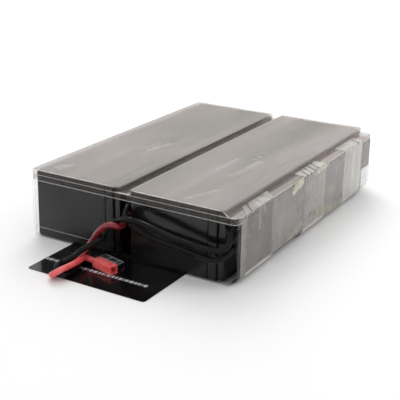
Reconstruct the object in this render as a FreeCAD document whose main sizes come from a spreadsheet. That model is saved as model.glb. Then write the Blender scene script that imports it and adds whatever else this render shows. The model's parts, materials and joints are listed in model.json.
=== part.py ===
import FreeCAD, Part
import math
import os

import Sketcher
from FreeCAD import Vector

# Replacement battery cartridge of a rack UPS: four sealed lead-acid blocks on their
# sides in a clear two-part plastic pack, wired in series, with a flat pull sheet
# under the pack and two leads that end in a pair of single-pole plugs.
# +X is the right-hand side with the ledge, +Y is the rear, +Z is up and the origin
# is the middle of the underside.

SIZES = {
    # clear plastic pack
    "film": 0.6,                # wall of both formed shells
    "slip": 0.1,                # cover skirt to tray wall
    "fit_side": 0.2,            # block to shell, across
    "left_play": 3.0,           # further gap beside the left blocks
    "fit_end": 0.3,             # block to shell, lengthwise
    "fit_top": 0.3,             # block to cover
    "wire_gap": 12.2,           # between the left lids and the right cases
    "channel": 12.0,            # between the right lids and the tray wall
    "skirt_depth": 10.8,
    "groove_depth": 5.2,        # of the centre groove and of the side ledge
    "wall_gap": 0.4,            # tray wall to the underside of the ledge
    "left_round": 2.3,
    "right_round": 6.5,
    "field_round": 2.0,
    "crown_round": 1.5,
    "heel_round": 8.5,          # long lower edge on the right
    "band_rise": 9.5,
    "band_step": 0.4,
    "rib_rise": 9.0,
    "rib_side": 0.3,            # centre rib to the blocks beside it
    "rib_end": 9.0,
    "slot_foot": 35.0,          # lowest point of the centre cable slot
    "window_foot": 26.5,
    "window_wide": 10.1,
    "window_start": 1.3,        # from the right lids to the window
    "window_reach": 4.9,        # lengthwise cut, through the rounded corner
    # pull sheet
    "pull_thick": 0.5,
    "pull_left": 64.0,
    "pull_right": 59.0,
    "pull_front": 62.5,         # beyond the front of the pack
    "pull_rear": 0.4,
    "pull_round": 3.0,
    # film and tapes on the right-hand side
    "wrap_thick": 0.2,
    "wrap_under": 9.0,
    "wrap_front": 7.5,
    "wrap_rear": 25.6,
    "wrap_drop": 2.4,           # upper edge below the ledge
    "bare_front": 68.6,         # strip along the foot that the film leaves bare
    "bare_long": 60.0,
    "bare_rise": 8.0,
    "tape_thick": 0.15,
    "tape_inset": 0.5,          # tape to the field wall beside the ledge
    "tape_wide": 48.0,
    "front_tape": 16.6,         # front of the pack to the first tape
    "front_skew": 13.0,
    "middle_tape": 20.0,        # start of the second tape ahead of the middle
    "rear_tape": 77.6,          # rear of the pack to the start of the third tape
    "corner_foot": 28.0,
    "corner_rise": 28.0,
    "corner_wrap": 30.0,
    # sealed lead-acid block, lying on its side
    "block_long": 151.0,
    "block_wide": 65.0,
    "case_tall": 79.5,
    "lid_tall": 14.5,
    "lid_step": 6.4,
    "lid_inset": 1.2,
    "end_gap": 2.0,
    "case_round": 1.8,
    "panel_side": 7.0,
    "panel_end": 9.0,
    "panel_sink": 0.4,
    "vent_long": 90.0,
    "vent_wide": 18.0,
    "vent_sink": 1.6,
    "vent_play": 0.15,
    "vent_pitch": 15.0,
    "vent_slot": 8.0,
    "vent_nick": 1.2,
    "pole_end": 19.0,           # terminal centre from the end of the block
    "pole_drop": 16.1,          # terminal centre from the upper long side
    "well_long": 18.0,
    "well_wide": 14.0,
    "well_sink": 2.0,
    "tab_wide": 6.35,
    "tab_thick": 0.8,
    "tab_reach": 6.35,
    "tab_bevel": 0.25,
    "foot_long": 10.0,
    "foot_wide": 8.0,
    "foot_thick": 1.0,
    # insulated flag receptacles
    "sleeve_gap": 0.4,
    "sleeve_deep": 8.2,
    "sleeve_wide": 8.4,
    "sleeve_tall": 4.0,
    "sleeve_bevel": 0.6,
    "slot_play": 0.1,
    "slot_deep": 6.4,
    "barrel_wide": 6.6,
    "barrel_long": 3.5,
    # leads and plugs
    "cable_wide": 5.4,
    "shell_long": 24.6,
    "shell_wide": 7.9,
    "shell_gap": 0.1,
    "shell_turn": 14.0,
    "shell_bevel": 0.4,
    "entry_wide": 6.2,
    "entry_deep": 9.0,
    "lead_in": 6.0,
    "core_wide": 4.8,
    "mouth_wide": 6.0,
    "mouth_tall": 5.6,
    "mouth_rise": 0.2,
    "mouth_deep": 9.0,
    "key_wide": 3.0,
    "key_flare": 0.5,
    "key_tall": 0.9,
    "key_start": 2.0,
    "key_long": 13.0,
    "key_play": 0.15,
    "contact_play": 0.2,
    "barrel_lap": 1.5,          # contact barrel into the mouth
    "tongue_wide": 4.4,
    "tongue_thick": 0.8,
    "tongue_rise": 1.5,
    "tongue_end": 1.6,
    "plug_left": 16.0,          # rear centre of the red shell
    "plug_front": 180.3,
}

# Lead routes, from the receptacle of the block to the plug or to the next receptacle.
ROUTES = {
    "red_lead": [
        (-6, 125.3, 50), (-6, 120.2, 50), (-5.6, 112.8, 46.4), (-4.7, 100, 40.4),
        (-4.9, 80, 36), (-4.3, 45, 36.2), (-4.9, 0, 35.2), (-4.4, -45, 36), (-4.9, -80, 35.2),
        (-5, -100, 36), (-5.4, -118, 37.2), (-6, -134, 38.8), (-6.2, -145.9, 39.6),
        (-4.9, -155.2, 38.4), (0.5, -160.2, 35.2), (1.4, -170.5, 37.9), (-3.1, -174.4, 40.6),
        (-9.1, -175.6, 38.6), (-18.1, -174.8, 30), (-27.6, -170.9, 17.4), (-31.9, -173.3, 10.3),
        (-34.8, -177.1, 4.9), (-34.9, -185, 3.4), (-33.3, -199, 3.3), (-32.9, -211, 3.3),
        (-32.7, -221, 3.3), (-29.7, -224.6, 5.4), (-25.5, -224.6, 8.4), (-22.5, -221, 10.6),
        (-21.5, -212, 10.6), (-20.9, -203, 10.4), (-22.1, -194, 10), (-25.5, -185.2, 8.6),
        (-19.88, -179.33, 4.45), (-10.18, -181.75, 4.45),
    ],
    "black_lead": [
        (100.2, -140.7, 50), (100.2, -146.2, 50), (101.4, -151.6, 45.2), (102.9, -156.6, 37.6),
        (97, -160.6, 33.8), (84.5, -161.8, 33.6), (72.5, -164, 35.2), (59, -165.2, 37.2),
        (45.5, -165.8, 40), (31.5, -166, 43.2), (19, -166.2, 45.4), (10.7, -170.4, 47.2),
        (-1.5, -165, 42.7), (-11.3, -164.3, 36.3), (-15, -166, 29.1), (-13.4, -173.7, 25.2),
        (-16.4, -180.9, 22.9), (-20.7, -186.3, 19.7), (-26.5, -190.2, 15.1), (-27.5, -200, 12.3),
        (-31.5, -206.2, 10.1), (-30.9, -215.2, 11), (-28.5, -218.6, 8.8), (-25, -218.6, 5.6),
        (-22.5, -215.2, 3.3), (-22.7, -206, 3.3), (-23.9, -195, 3.3), (-28.9, -185.4, 3.3),
        (-28.1, -175.8, 3.5), (-17.95, -171.57, 4.45), (-8.25, -173.99, 4.45),
    ],
    "link_cable": [
        (-6, -140.7, 50), (-6, -145.6, 50), (-3.1, -150.6, 48.2), (-1.1, -156.2, 45.2),
        (4.7, -160.6, 40.6), (13.5, -161.4, 36.2), (25.5, -161.6, 32.2), (39.5, -162, 30.4),
        (53.5, -162, 29.4), (67.5, -162, 27.6), (81.5, -161.4, 25.2), (92.5, -160.4, 23.8),
        (100.1, -158.4, 27.6), (102.7, -151, 31.6), (102.8, -139.5, 33.2), (102.5, -122, 34.2),
        (101.9, -98, 33.6), (102.5, -58, 34.6), (101.8, -10, 33.6), (102.5, 40, 34.8),
        (101.9, 78, 35.2), (102, 100, 38.6), (101.1, 111.4, 44), (100.2, 120, 50),
        (100.2, 125.3, 50),
    ],
    "jumper_left": [
        (-6, -12.3, 50), (-6, -8.2, 50), (-5.1, 0.3, 48.2), (-6, 8.4, 50), (-6, 12.3, 50),
    ],
    "jumper_right": [
        (100.2, -12.3, 50), (100.2, -8.3, 50), (101, -0.4, 48.4), (100.2, 8.2, 50), (100.2, 12.3, 50),
    ],
}

doc = FreeCAD.newDocument("cartridge")
sheet = doc.addObject("Spreadsheet::Sheet", "Sizes")
for row, (alias, size) in enumerate(SIZES.items(), 1):
    sheet.set("A%d" % row, alias)
    sheet.set("B%d" % row, str(size))
    sheet.setAlias("B%d" % row, alias)
doc.recompute()


def s(name):
    """Expression that reads one size of the sheet."""
    return "Sizes." + name


def join(*terms):
    return "(" + " + ".join(terms) + ")"


def less(first, *rest):
    return "(" + first + "".join(" - " + term for term in rest) + ")"


def times(factor, term):
    return "(%s * %s)" % (factor, term)


def half(term):
    return "(%s / 2)" % term


# lines of the assembly, as expressions of the sheet
SHELLS = join(times(2, s("film")), s("slip"))
BLOCK_TALL = join(s("case_tall"), s("lid_tall"))
WIDE = join(times(2, SHELLS), s("fit_side"), s("left_play"), times(2, BLOCK_TALL), s("wire_gap"),
            s("channel"))
LONG = join(times(2, join(SHELLS, s("fit_end"))), times(2, s("block_long")), s("end_gap"))
RIGHT = half(WIDE)
REAR = half(LONG)
LEFT_BLOCK = less(join(SHELLS, s("fit_side"), s("left_play")), RIGHT)
LEFT_LID = join(LEFT_BLOCK, BLOCK_TALL)
RIGHT_BLOCK = join(LEFT_LID, s("wire_gap"))
RIGHT_LID = join(RIGHT_BLOCK, BLOCK_TALL)
BLOCK_MID = half(join(s("block_long"), s("end_gap")))
FLOOR = join(s("pull_thick"), s("film"))
TOP = join(FLOOR, s("block_wide"), s("fit_top"), s("film"))
LEDGE = less(TOP, s("groove_depth"))
SKIRT = less(TOP, s("skirt_depth"))
WALL_TOP = less(LEDGE, s("film"), s("wall_gap"))
TRAY_RIGHT = less(RIGHT, s("film"), s("slip"))
TRAY_REAR = less(REAR, s("film"), s("slip"))
GAP_MID = join(LEFT_LID, half(s("wire_gap")))
POLE_Y = less(half(s("block_long")), s("pole_end"))
POLE_Z = less(s("block_wide"), s("pole_drop"))
WRAP_OUT = join(RIGHT, s("wrap_thick"))
TAPE_OUT = join(WRAP_OUT, s("tape_thick"))
THIRD_TAPE = less(REAR, s("rear_tape"))


def minus(term):
    return "(-1 * %s)" % term


def body(label, x="0", y="0", z="0"):
    piece = doc.addObject("PartDesign::Body", label)
    piece.Label = label
    for axis, term in zip("xyz", (x, y, z)):
        piece.setExpression("Placement.Base." + axis, term)
    return piece


def sketch(piece, role, lift):
    plan = piece.newObject("Sketcher::SketchObject", piece.Label + "_sketch")
    plane = [f for f in piece.Origin.OriginFeatures if f.Role == role][0]
    plan.AttachmentSupport = [(plane, "")]
    plan.MapMode = "FlatFace"
    plan.setExpression("AttachmentOffset.Base.z", lift)
    return plan


def hold(plan, kind, item, point, term):
    spot = plan.getPoint(item, point)
    drawn = spot.x if kind == "DistanceX" else spot.y
    number = plan.addConstraint(Sketcher.Constraint(kind, -1, 1, item, point, drawn))
    plan.setExpression("Constraints[%d]" % number, term)


def outline(piece, role, points, lift="0"):
    """Closed sketch through points, each given as two expressions."""
    plan = sketch(piece, role, lift)
    count = len(points)
    lines = []
    for n in range(count):
        turn = 2 * math.pi * n / count
        after = 2 * math.pi * (n + 1) / count
        start = Vector(9 * math.cos(turn), 9 * math.sin(turn), 0)
        end = Vector(9 * math.cos(after), 9 * math.sin(after), 0)
        lines.append(plan.addGeometry(Part.LineSegment(start, end), False))
    for n in range(count):
        plan.addConstraint(Sketcher.Constraint("Coincident", lines[n], 2, lines[(n + 1) % count], 1))
    for line, (across, up) in zip(lines, points):
        hold(plan, "DistanceX", line, 1, across)
        hold(plan, "DistanceY", line, 1, up)
    return plan


def box_outline(piece, role, low_x, high_x, low_y, high_y, lift="0"):
    corners = [(low_x, low_y), (high_x, low_y), (high_x, high_y), (low_x, high_y)]
    return outline(piece, role, corners, lift)


def disc(piece, role, across, up, wide, lift="0"):
    plan = sketch(piece, role, lift)
    ring = plan.addGeometry(Part.Circle(Vector(1, 1, 0), Vector(0, 0, 1), 3), False)
    hold(plan, "DistanceX", ring, 3, across)
    hold(plan, "DistanceY", ring, 3, up)
    number = plan.addConstraint(Sketcher.Constraint("Diameter", ring, 3.0))
    plan.setExpression("Constraints[%d]" % number, wide)
    return plan


def extrude(kind, piece, plan, length, back=False):
    before = piece.Shape.Volume if piece.Tip else 0.0
    feature = piece.newObject("PartDesign::" + kind, piece.Label + "_" + kind.lower())
    feature.Profile = plan
    feature.setExpression("Length", length)
    feature.Reversed = back
    doc.recompute()
    change = feature.Shape.Volume - before
    if (change > 0) != (kind == "Pad") or abs(change) < 1e-4:
        raise RuntimeError("%s of %s changed nothing" % (kind, piece.Label))
    return feature


def pad(piece, plan, length, back=False):
    return extrude("Pad", piece, plan, length, back)


def pocket(piece, plan, length, back=False):
    return extrude("Pocket", piece, plan, length, back)


def dress(kind, piece, base, edges, size):
    feature = piece.newObject("PartDesign::" + kind, piece.Label + "_" + kind.lower())
    feature.Base = (base, edges)
    feature.setExpression("Radius" if kind == "Fillet" else "Size", size)
    doc.recompute()
    if not edges or feature.Shape.isNull() or not feature.isValid():
        raise RuntimeError("%s of %s failed" % (kind, piece.Label))
    return feature


def shell(piece, base, faces):
    """Hollows a block to the wall of a formed sheet, inwards."""
    feature = piece.newObject("PartDesign::Thickness", piece.Label + "_wall")
    feature.Base = (base, faces)
    feature.Mode = 0
    feature.Join = 1
    feature.Reversed = True
    return feature


def edges_of(shape, test):
    return ["Edge%d" % n for n, edge in enumerate(shape.Edges, 1) if test(edge.BoundBox)]


def faces_of(shape, test):
    return ["Face%d" % n for n, face in enumerate(shape.Faces, 1) if test(face.BoundBox)]


NEAR = 0.01


def upright(box):
    return box.XLength < NEAR and box.YLength < NEAR


def flat_at(low, high, place):
    return abs(low - place) < NEAR and abs(high - place) < NEAR


def boolean(kind, label, base, tool):
    result = doc.addObject(kind, label)
    result.Label = label
    result.Base = base
    result.Tool = tool
    doc.recompute()
    return result


def spandrel(piece, role, across, up, radius, way, lift="0"):
    """Sketch of what a round of this radius leaves off a square corner."""
    plan = sketch(piece, role, lift)
    out_x, out_y = way
    corner = Vector(9 * out_x, 9 * out_y, 0)
    side = Vector(corner.x - 5 * out_x, corner.y, 0)
    rise = Vector(corner.x, corner.y - 5 * out_y, 0)
    centre = Vector(side.x, rise.y, 0)
    middle = centre + Vector(out_x, out_y, 0).normalize() * 5
    edge_a = plan.addGeometry(Part.LineSegment(side, corner), False)
    edge_b = plan.addGeometry(Part.LineSegment(corner, rise), False)
    bend = plan.addGeometry(Part.Arc(rise, middle, side), False)
    # an arc is kept counter-clockwise, so its first point depends on the corner
    first = 1 if (plan.getPoint(bend, 1) - rise).Length < 0.1 else 2
    plan.addConstraint(Sketcher.Constraint("Coincident", edge_a, 2, edge_b, 1))
    plan.addConstraint(Sketcher.Constraint("Coincident", edge_b, 2, bend, first))
    plan.addConstraint(Sketcher.Constraint("Coincident", bend, 3 - first, edge_a, 1))
    for item, point, x_term, y_term in (
        (edge_a, 1, less(across, times(out_x, radius)), up),
        (edge_b, 1, across, up),
        (edge_b, 2, across, less(up, times(out_y, radius))),
    ):
        hold(plan, "DistanceX", item, point, x_term)
        hold(plan, "DistanceY", item, point, y_term)
    hold(plan, "DistanceX", bend, 3, less(across, times(out_x, radius)))
    return plan


def round_corners(piece, right, rear, more, low, rise):
    """Rounds the four upright corners of a rectangular block."""
    for side, size in ((1, "right_round"), (-1, "left_round")):
        for end in (1, -1):
            corner = spandrel(piece, "XY_Plane", times(side, right), times(end, rear),
                              join(s(size), more), (side, end), low)
            pocket(piece, corner, rise, True)


def tray_form(label, inset, top):
    """The tray's outer form, or the form inside its wall, stepped at the base band."""
    form = body(label)
    low = join(s("pull_thick"), inset)
    foot = less(join(s("pull_thick"), s("band_rise")), inset)
    right = less(TRAY_RIGHT, inset)
    rear = less(TRAY_REAR, inset)
    band_right = join(right, s("band_step"))
    band_rear = join(rear, s("band_step"))
    plan = box_outline(form, "XY_Plane", minus(band_right), band_right, minus(band_rear), band_rear, low)
    pad(form, plan, less(foot, low))
    heel = spandrel(form, "XZ_Plane", band_right, low, less(s("heel_round"), inset), (1, -1), band_rear)
    pocket(form, heel, times(2, band_rear))
    round_corners(form, band_right, band_rear, less(s("band_step"), inset), low, less(foot, low))
    plan = box_outline(form, "XY_Plane", minus(right), right, minus(rear), rear, foot)
    pad(form, plan, less(top, foot))
    round_corners(form, right, rear, minus(inset), foot, less(top, foot))
    # hollow rib between the blocks, formed up from below
    rib_half = join(less(half(s("wire_gap")), s("rib_side"), s("film")), inset)
    rib_rear = join(less(TRAY_REAR, s("rib_end")), inset)
    plan = box_outline(form, "XY_Plane", less(GAP_MID, rib_half), join(GAP_MID, rib_half), minus(rib_rear),
                       rib_rear, low)
    pocket(form, plan, s("rib_rise"), True)
    return form


def make_tray():
    outer = tray_form("tray_outside", "0", WALL_TOP)
    # U-shaped slot for the cables between the blocks, and a window for those on the right
    front = join(REAR, "1")
    slot_half = half(s("wire_gap"))
    slot_z = join(s("slot_foot"), slot_half)
    slot_deep = join("2", times(3, s("film")))
    cut = box_outline(outer, "XZ_Plane", less(GAP_MID, slot_half), join(GAP_MID, slot_half), slot_z, TOP,
                      front)
    pocket(outer, cut, slot_deep)
    pocket(outer, disc(outer, "XZ_Plane", GAP_MID, slot_z, s("wire_gap"), front), slot_deep)
    near = join(RIGHT_LID, s("window_start"))
    cut = box_outline(outer, "XZ_Plane", near, join(near, s("window_wide")), s("window_foot"), TOP, front)
    pocket(outer, cut, join("1", s("window_reach")))
    inner = tray_form("tray_inside", s("film"), join(WALL_TOP, "1"))
    return boolean("Part::Cut", "bottom_tray", outer, inner)


def make_cover():
    cover = body("top_cover")
    block = box_outline(cover, "XY_Plane", minus(RIGHT), RIGHT, minus(REAR), REAR, SKIRT)
    pad(cover, block, less(LEDGE, SKIRT))
    wall = join(s("fit_side"), s("film"))
    fields = ((minus(RIGHT), join(LEFT_LID, wall)), (less(RIGHT_BLOCK, wall), join(RIGHT_LID, wall)))
    for low, high in fields:
        pad(cover, box_outline(cover, "XY_Plane", low, high, minus(REAR), REAR, LEDGE), s("groove_depth"))
    for test, size in (
        (lambda e, box: flat_at(e.XMin, e.XMax, box.XMin), "left_round"),
        (lambda e, box: flat_at(e.XMin, e.XMax, box.XMax), "right_round"),
        (lambda e, box: abs(e.ZMax - box.ZMax) < NEAR and e.XMin > box.XMin + 5 and e.XMax < box.XMax - 5,
         "field_round"),
    ):
        solid = cover.Tip
        box = solid.Shape.BoundBox
        dress("Fillet", cover, solid, edges_of(solid.Shape, lambda e: upright(e) and test(e, box)), s(size))
    solid = cover.Tip
    top = solid.Shape.BoundBox.ZMax
    dress("Fillet", cover, solid, edges_of(solid.Shape, lambda e: flat_at(e.ZMin, e.ZMax, top)),
          s("crown_round"))
    solid = cover.Tip
    foot = solid.Shape.BoundBox.ZMin
    wall = shell(cover, solid, faces_of(solid.Shape, lambda f: flat_at(f.ZMin, f.ZMax, foot)))
    wall.setExpression("Value", s("film"))
    doc.recompute()


def make_pull_sheet():
    pull = body("pull_sheet")
    front = minus(join(REAR, s("pull_front")))
    plan = box_outline(pull, "XY_Plane", minus(s("pull_left")), s("pull_right"), front,
                       join(REAR, s("pull_rear")))
    pad(pull, plan, s("pull_thick"))
    solid = pull.Tip
    ends = edges_of(solid.Shape, lambda e: upright(e) and e.YMax < 0)
    dress("Fillet", pull, solid, ends, s("pull_round"))


def fold_sheet(piece, solid, thick, keep):
    """Leaves only the named outer faces of a block, as a thin folded sheet."""
    box = solid.Shape.BoundBox
    limits = {"left": ("XMin", "XMax", box.XMin), "front": ("YMin", "YMax", box.YMin),
              "rear": ("YMin", "YMax", box.YMax), "under": ("ZMin", "ZMax", box.ZMin),
              "top": ("ZMin", "ZMax", box.ZMax)}
    opened = []
    for name, (low, high, place) in limits.items():
        if name not in keep:
            opened += faces_of(solid.Shape, lambda f: flat_at(getattr(f, low), getattr(f, high), place))
    wall = shell(piece, solid, opened)
    wall.setExpression("Value", thick)
    doc.recompute()


def make_side_film():
    film = body("side_film")
    low = less(s("pull_thick"), s("wrap_thick"))
    start = join(minus(REAR), s("wrap_front"))
    plan = box_outline(film, "XY_Plane", less(RIGHT, s("wrap_under")), WRAP_OUT, start,
                       less(REAR, s("wrap_rear")), low)
    pad(film, plan, less(LEDGE, s("wrap_drop"), low))
    heel_round = join(s("heel_round"), times(2, s("wrap_thick")))
    heel = spandrel(film, "XZ_Plane", WRAP_OUT, low, heel_round, (1, -1), join(REAR, "1"))
    pocket(film, heel, times(2, join(REAR, "1")))
    fold_sheet(film, film.Tip, s("wrap_thick"), ("under",))
    bare_start = less(s("bare_front"), REAR)
    bare = box_outline(film, "XY_Plane", less(RIGHT, s("wrap_under"), "1"), join(WRAP_OUT, "1"),
                       bare_start, join(bare_start, s("bare_long")), "0")
    pocket(film, bare, s("bare_rise"), True)


def ledge_tape(label, start, long, skew):
    """Tape folded over the ledge and down the side, round the heel."""
    tape = body(label)
    field = join(RIGHT_LID, s("fit_side"), s("film"), s("tape_inset"))
    low = less(s("pull_thick"), s("wrap_thick"), s("tape_thick"))
    high = join(LEDGE, s("tape_thick"))
    lean = s(skew) if skew else "0"
    plan = outline(tape, "XY_Plane", [(field, join(start, lean)), (TAPE_OUT, start),
                                      (TAPE_OUT, join(start, long)), (field, join(start, long, lean))], low)
    pad(tape, plan, less(high, low))
    depth = join(REAR, "1")
    heel_round = join(s("heel_round"), times(2, s("wrap_thick")), s("tape_thick"))
    for corner, size, way in ((low, heel_round, (1, -1)), (high, times(2, s("tape_thick")), (1, 1))):
        cut = spandrel(tape, "XZ_Plane", TAPE_OUT, corner, size, way, depth)
        pocket(tape, cut, times(2, depth))
    solid = tape.Tip
    box = solid.Shape.BoundBox
    field_face = faces_of(solid.Shape, lambda f: flat_at(f.XMin, f.XMax, box.XMin))
    ends = [name for name, face in zip(["Face%d" % n for n in range(1, 99)], solid.Shape.Faces)
            if abs(face.normalAt(0, 0).y) > 0.5]
    wall = shell(tape, solid, field_face + ends)
    wall.setExpression("Value", s("tape_thick"))
    doc.recompute()


def make_corner_tape():
    tape = body("tape_corner")
    rear = join(REAR, s("wrap_thick"), s("tape_thick"))
    plan = box_outline(tape, "XY_Plane", less(RIGHT, s("corner_wrap")), TAPE_OUT,
                       join(THIRD_TAPE, s("tape_wide")), rear, s("corner_foot"))
    pad(tape, plan, s("corner_rise"))
    corner = spandrel(tape, "XY_Plane", TAPE_OUT, rear, s("right_round"), (1, 1), s("corner_foot"))
    pocket(tape, corner, s("corner_rise"), True)
    fold_sheet(tape, tape.Tip, s("tape_thick"), ("rear",))


def make_case(name, x, y):
    case = body(name + "_case", x, y, FLOOR)
    end = half(s("block_long"))
    plan = box_outline(case, "XY_Plane", "0", s("case_tall"), minus(end), end)
    pad(case, plan, s("block_wide"))
    solid = case.Tip
    box = solid.Shape.BoundBox
    base = edges_of(solid.Shape, lambda e: flat_at(e.XMin, e.XMax, box.XMin) or
                    (e.YLength < NEAR and e.ZLength < NEAR))
    dress("Fillet", case, solid, base, s("case_round"))
    # shallow label panels in both broad sides
    for lift, back in ((s("block_wide"), False), ("0", True)):
        panel = box_outline(case, "XY_Plane", s("panel_side"), less(s("case_tall"), s("panel_side")),
                            join(minus(end), s("panel_end")), less(end, s("panel_end")), lift)
        pocket(case, panel, s("panel_sink"), back)


def make_lid(name, x, y):
    lid = body(name + "_lid", x, y, FLOOR)
    end = half(s("block_long"))
    middle = half(s("block_wide"))
    plan = box_outline(lid, "YZ_Plane", minus(end), end, "0", s("block_wide"), s("case_tall"))
    pad(lid, plan, less(s("lid_tall"), s("lid_step")))
    inset = s("lid_inset")
    plan = box_outline(lid, "YZ_Plane", join(minus(end), inset), less(end, inset), inset,
                       less(s("block_wide"), inset), less(BLOCK_TALL, s("lid_step")))
    pad(lid, plan, s("lid_step"))
    solid = lid.Tip
    edges = edges_of(solid.Shape, lambda e: e.YLength < NEAR and e.ZLength < NEAR)
    dress("Fillet", lid, solid, edges, s("case_round"))
    vent = box_outline(lid, "YZ_Plane", minus(half(s("vent_long"))), half(s("vent_long")),
                       less(middle, half(s("vent_wide"))), join(middle, half(s("vent_wide"))), BLOCK_TALL)
    pocket(lid, vent, s("vent_sink"))
    for side in (1, -1):
        pole = times(side, POLE_Y)
        long = half(s("well_long"))
        wide = half(s("well_wide"))
        well = box_outline(lid, "YZ_Plane", less(pole, long), join(pole, long), less(POLE_Z, wide),
                           join(POLE_Z, wide), BLOCK_TALL)
        pocket(lid, well, s("well_sink"))


VENT_SLOTS = 6


def make_vent_cover(name, x, y):
    plate = body(name + "_vent_cover", x, y, FLOOR)
    middle = half(s("block_wide"))
    across = less(half(s("vent_long")), s("vent_play"))
    up = less(half(s("vent_wide")), s("vent_play"))
    plan = box_outline(plate, "YZ_Plane", minus(across), across, less(middle, up), join(middle, up),
                       less(BLOCK_TALL, s("vent_sink")))
    pad(plate, plan, less(s("vent_sink"), s("vent_play")))
    span = times(VENT_SLOTS - 1, s("vent_pitch"))
    first = minus(half(span))
    slot = half(s("vent_slot"))
    deep = half(s("vent_nick"))
    nick = box_outline(plate, "YZ_Plane", less(first, slot), join(first, slot), less(middle, deep),
                       join(middle, deep), BLOCK_TALL)
    cut = pocket(plate, nick, half(s("vent_sink")))
    row = plate.newObject("PartDesign::LinearPattern", plate.Label + "_row")
    row.Originals = [cut]
    row.Direction = (nick, ["H_Axis"])
    row.setExpression("Length", span)
    row.Occurrences = VENT_SLOTS
    plate.Tip = row
    doc.recompute()


def make_tab(name, pole, x, y):
    tab = body("%s_%s_tab" % (name, pole), x, join(y, times(POLES[pole], POLE_Y)), join(FLOOR, POLE_Z))
    seat = less(BLOCK_TALL, s("well_sink"))
    plan = box_outline(tab, "YZ_Plane", minus(half(s("foot_long"))), half(s("foot_long")),
                       minus(half(s("foot_wide"))), half(s("foot_wide")), seat)
    pad(tab, plan, s("foot_thick"))
    wide = half(s("tab_wide"))
    thick = half(s("tab_thick"))
    plan = box_outline(tab, "YZ_Plane", minus(wide), wide, minus(thick), thick, join(seat, s("foot_thick")))
    pad(tab, plan, join(less(s("well_sink"), s("foot_thick")), s("tab_reach")))
    solid = tab.Tip
    tip = solid.Shape.BoundBox.XMax
    edges = edges_of(solid.Shape, lambda e: flat_at(e.XMin, e.XMax, tip))
    dress("Chamfer", tab, solid, edges, s("tab_bevel"))


def make_receptacle(label, x, y, way):
    """Right-angle sleeve on a tab; its barrel points along the row of blocks."""
    sleeve = body(label, x, y, join(FLOOR, POLE_Z))
    wide = half(s("sleeve_wide"))
    tall = half(s("sleeve_tall"))
    plan = box_outline(sleeve, "YZ_Plane", minus(wide), wide, minus(tall), tall, s("sleeve_gap"))
    pad(sleeve, plan, s("sleeve_deep"))
    solid = sleeve.Tip
    edges = edges_of(solid.Shape, lambda e: e.YLength < NEAR and e.ZLength < NEAR)
    dress("Chamfer", sleeve, solid, edges, s("sleeve_bevel"))
    barrel_x = join(s("sleeve_gap"), half(s("sleeve_deep")))
    ring = disc(sleeve, "XZ_Plane", barrel_x, "0", s("barrel_wide"), minus(times(way, wide)))
    pad(sleeve, ring, s("barrel_long"), way > 0)
    blade = join(half(s("tab_wide")), s("slot_play"))
    leaf = join(half(s("tab_thick")), s("slot_play"))
    slot = box_outline(sleeve, "YZ_Plane", minus(blade), blade, minus(leaf), leaf, s("sleeve_gap"))
    pocket(sleeve, slot, s("slot_deep"), True)


def key_points(play):
    """Dovetail section on the side of a plug shell, wider at its crown."""
    side = minus(half(s("shell_wide")))
    low = join(half(s("key_wide")), play)
    high = join(low, s("key_flare"))
    crown = less(side, s("key_tall"))
    return side, low, high, crown


def turn_plug(piece, row):
    """Sets a plug piece beside its fellow: row 0 is the red plug, row 1 the black one."""
    angle = -math.radians(sheet.shell_turn)
    pitch = (sheet.shell_wide + sheet.shell_gap) * row
    place = Vector(-sheet.plug_left - pitch * math.sin(angle), -sheet.plug_front + pitch * math.cos(angle),
                   sheet.pull_thick + sheet.shell_wide / 2)
    piece.Placement = FreeCAD.Placement(place, FreeCAD.Rotation(Vector(0, 0, 1), -sheet.shell_turn))


def make_plug(colour, row):
    plug = doc.addObject("PartDesign::Body", colour + "_housing")
    plug.Label = colour + "_housing"
    side = half(s("shell_wide"))
    pad(plug, box_outline(plug, "YZ_Plane", minus(side), side, minus(side), side), s("shell_long"))
    solid = plug.Tip
    edges = edges_of(solid.Shape, lambda e: e.YLength < NEAR and e.ZLength < NEAR)
    dress("Chamfer", plug, solid, edges, s("shell_bevel"))
    pocket(plug, disc(plug, "YZ_Plane", "0", "0", s("entry_wide")), s("entry_deep"), True)
    core = disc(plug, "YZ_Plane", "0", "0", s("core_wide"), s("entry_deep"))
    pocket(plug, core, less(s("shell_long"), s("entry_deep")), True)
    wide = half(s("mouth_wide"))
    tall = half(s("mouth_tall"))
    mouth = box_outline(plug, "YZ_Plane", minus(wide), wide, less(s("mouth_rise"), tall),
                        join(s("mouth_rise"), tall), s("shell_long"))
    pocket(plug, mouth, s("mouth_deep"))
    # dovetail key on one side, keyway for the next shell on the other
    face, low, high, crown = key_points("0")
    root = join(face, "0.2")
    key = outline(plug, "YZ_Plane", [(root, minus(low)), (root, low), (face, low), (crown, high),
                                     (crown, minus(high)), (face, minus(low))], s("key_start"))
    pad(plug, key, s("key_long"))
    face, low, high, crown = key_points(s("key_play"))
    depth = join(minus(face), minus(s("key_tall")), minus(s("key_play")))
    edge = join(minus(face), "0.2")
    way = outline(plug, "YZ_Plane", [(depth, minus(high)), (edge, minus(low)), (edge, low), (depth, high)],
                  "0")
    pocket(plug, way, join(s("key_start"), s("key_long"), s("key_play")), True)
    turn_plug(plug, row)

    contact = doc.addObject("PartDesign::Body", colour + "_contact")
    contact.Label = colour + "_contact"
    barrel_wide = less(s("core_wide"), times(2, s("contact_play")))
    barrel = disc(contact, "YZ_Plane", "0", "0", barrel_wide, s("lead_in"))
    pad(contact, barrel, less(join(s("shell_long"), s("barrel_lap")), s("mouth_deep"), s("lead_in")))
    wide = half(s("tongue_wide"))
    low = s("tongue_rise")
    tongue = box_outline(contact, "YZ_Plane", minus(wide), wide, low, join(low, s("tongue_thick")),
                         less(s("shell_long"), s("mouth_deep")))
    pad(contact, tongue, less(s("mouth_deep"), s("tongue_end")))
    turn_plug(contact, row)


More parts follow.
